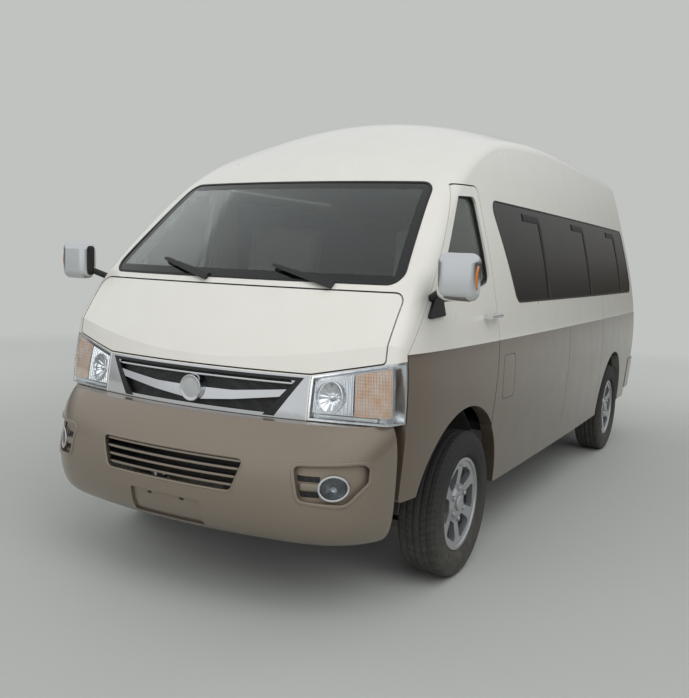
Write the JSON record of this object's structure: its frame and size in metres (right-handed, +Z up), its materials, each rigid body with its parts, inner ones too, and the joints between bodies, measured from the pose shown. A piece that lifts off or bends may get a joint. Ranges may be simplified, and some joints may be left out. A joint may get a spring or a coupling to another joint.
{
  "type": "minibus",
  "caption": "High roof minibus with hinged front doors, bonnet and tailgate, a sliding side door, cabin with seats, and steered and rolling wheels.",
  "frame": {"origin": "centre of the bounding box at road level", "axes": "+X forward, +Y to the vehicle's left, +Z up"},
  "size_m": [5.1999, 2.188, 2.2274],
  "materials": {
    "paint_white": "gloss pearl",
    "paint_two_tone": "gloss, white above the belt and champagne metallic below",
    "paint_champagne": "metallic gloss",
    "chrome_trim": "polished",
    "black_plastic": "grained",
    "glass_clear": "clear, slight green tint",
    "glass_dark": "privacy tint",
    "lens_clear": "clear lens",
    "lamp_case": "silvered",
    "lamp_red": "red lens",
    "chassis_black": "satin",
    "engine_grey": "cast",
    "tyre_black": "matte",
    "rim_silver": "painted silver",
    "steel": "machined",
    "seat_cloth": "woven",
    "dash_plastic": "grained",
    "floor_paint": "satin",
    "flap_rubber": "matte"
  },
  "bodies": {
    "body": {"chassis_rails": "chassis_black", "dashboard": "dash_plastic", "engine": "engine_grey", "exhaust": "steel", "floor": "floor_paint", "front_bumper": "paint_champagne", "front_frame": "paint_white", "fuel_tank": "chassis_black", "grille_chrome": "chrome_trim", "headlamp_lenses": "lens_clear", "lamp_cases": "lamp_case", "lower_grilles": "black_plastic", "mud_flaps": "flap_rubber", "rear_axle": "chassis_black", "rear_bumper": "paint_champagne", "roof": "paint_white", "seat_bases": "dash_plastic", "seats": "seat_cloth", "side_glass": "glass_dark", "side_left": "paint_two_tone", "side_right": "paint_two_tone", "sliding_door": "paint_two_tone", "steering_wheel": "dash_plastic", "suspension": "chassis_black", "tail_lamps": "lamp_red", "windscreen": "glass_clear", "wipers": "black_plastic"},
    "door_left": {"door_left": "paint_two_tone", "door_glass_left": "glass_clear", "door_fittings_left": "chrome_trim"},
    "door_right": {"door_right": "paint_two_tone", "door_glass_right": "glass_clear", "door_fittings_right": "chrome_trim"},
    "bonnet": {"bonnet": "paint_white"},
    "tailgate": {"tailgate": "paint_two_tone", "tailgate_glass": "glass_dark"},
    "knuckle_left": {"knuckle_left": "steel"},
    "knuckle_right": {"knuckle_right": "steel"},
    "wheel_fl": {"tyre_fl": "tyre_black", "rim_fl": "rim_silver"},
    "wheel_fr": {"tyre_fr": "tyre_black", "rim_fr": "rim_silver"},
    "wheel_rl": {"tyre_rl": "tyre_black", "rim_rl": "rim_silver"},
    "wheel_rr": {"tyre_rr": "tyre_black", "rim_rr": "rim_silver"}
  },
  "joints": [
    {"name": "door_left_hinge", "type": "hinge", "parent": "body", "child": "door_left", "pos_m": [2.185, 0.872, 0.8], "axis": [0, 0, -1], "range_deg": [0, 70]},
    {"name": "door_right_hinge", "type": "hinge", "parent": "body", "child": "door_right", "pos_m": [2.185, -0.872, 0.8], "axis": [0, 0, 1], "range_deg": [0, 70]},
    {"name": "bonnet_hinge", "type": "hinge", "parent": "body", "child": "bonnet", "pos_m": [2.215, 0, 1.262], "axis": [0, -1, 0], "range_deg": [0, 55]},
    {"name": "tailgate_hinge", "type": "hinge", "parent": "body", "child": "tailgate", "pos_m": [-2.412, 0, 1.985], "axis": [0, 1, 0], "range_deg": [0, 85]},
    {"name": "steer_left", "type": "hinge", "parent": "body", "child": "knuckle_left", "pos_m": [1.65, 0.715, 0.327], "axis": [0, 0, 1], "range_deg": [-33, 33]},
    {"name": "steer_right", "type": "hinge", "parent": "body", "child": "knuckle_right", "pos_m": [1.65, -0.715, 0.327], "axis": [0, 0, 1], "range_deg": [-33, 33]},
    {"name": "wheel_fl_spin", "type": "hinge", "parent": "knuckle_left", "child": "wheel_fl", "pos_m": [1.65, 0.827, 0.327], "axis": [0, 1, 0], "continuous": true},
    {"name": "wheel_fr_spin", "type": "hinge", "parent": "knuckle_right", "child": "wheel_fr", "pos_m": [1.65, -0.827, 0.327], "axis": [0, 1, 0], "continuous": true},
    {"name": "wheel_rl_spin", "type": "hinge", "parent": "body", "child": "wheel_rl", "pos_m": [-1.46, 0.827, 0.327], "axis": [0, 1, 0], "continuous": true},
    {"name": "wheel_rr_spin", "type": "hinge", "parent": "body", "child": "wheel_rr", "pos_m": [-1.46, -0.827, 0.327], "axis": [0, 1, 0], "continuous": true}
  ],
  "couplings": [
    {"joint": "steer_right", "follows": "steer_left", "ratio": 1}
  ]
}
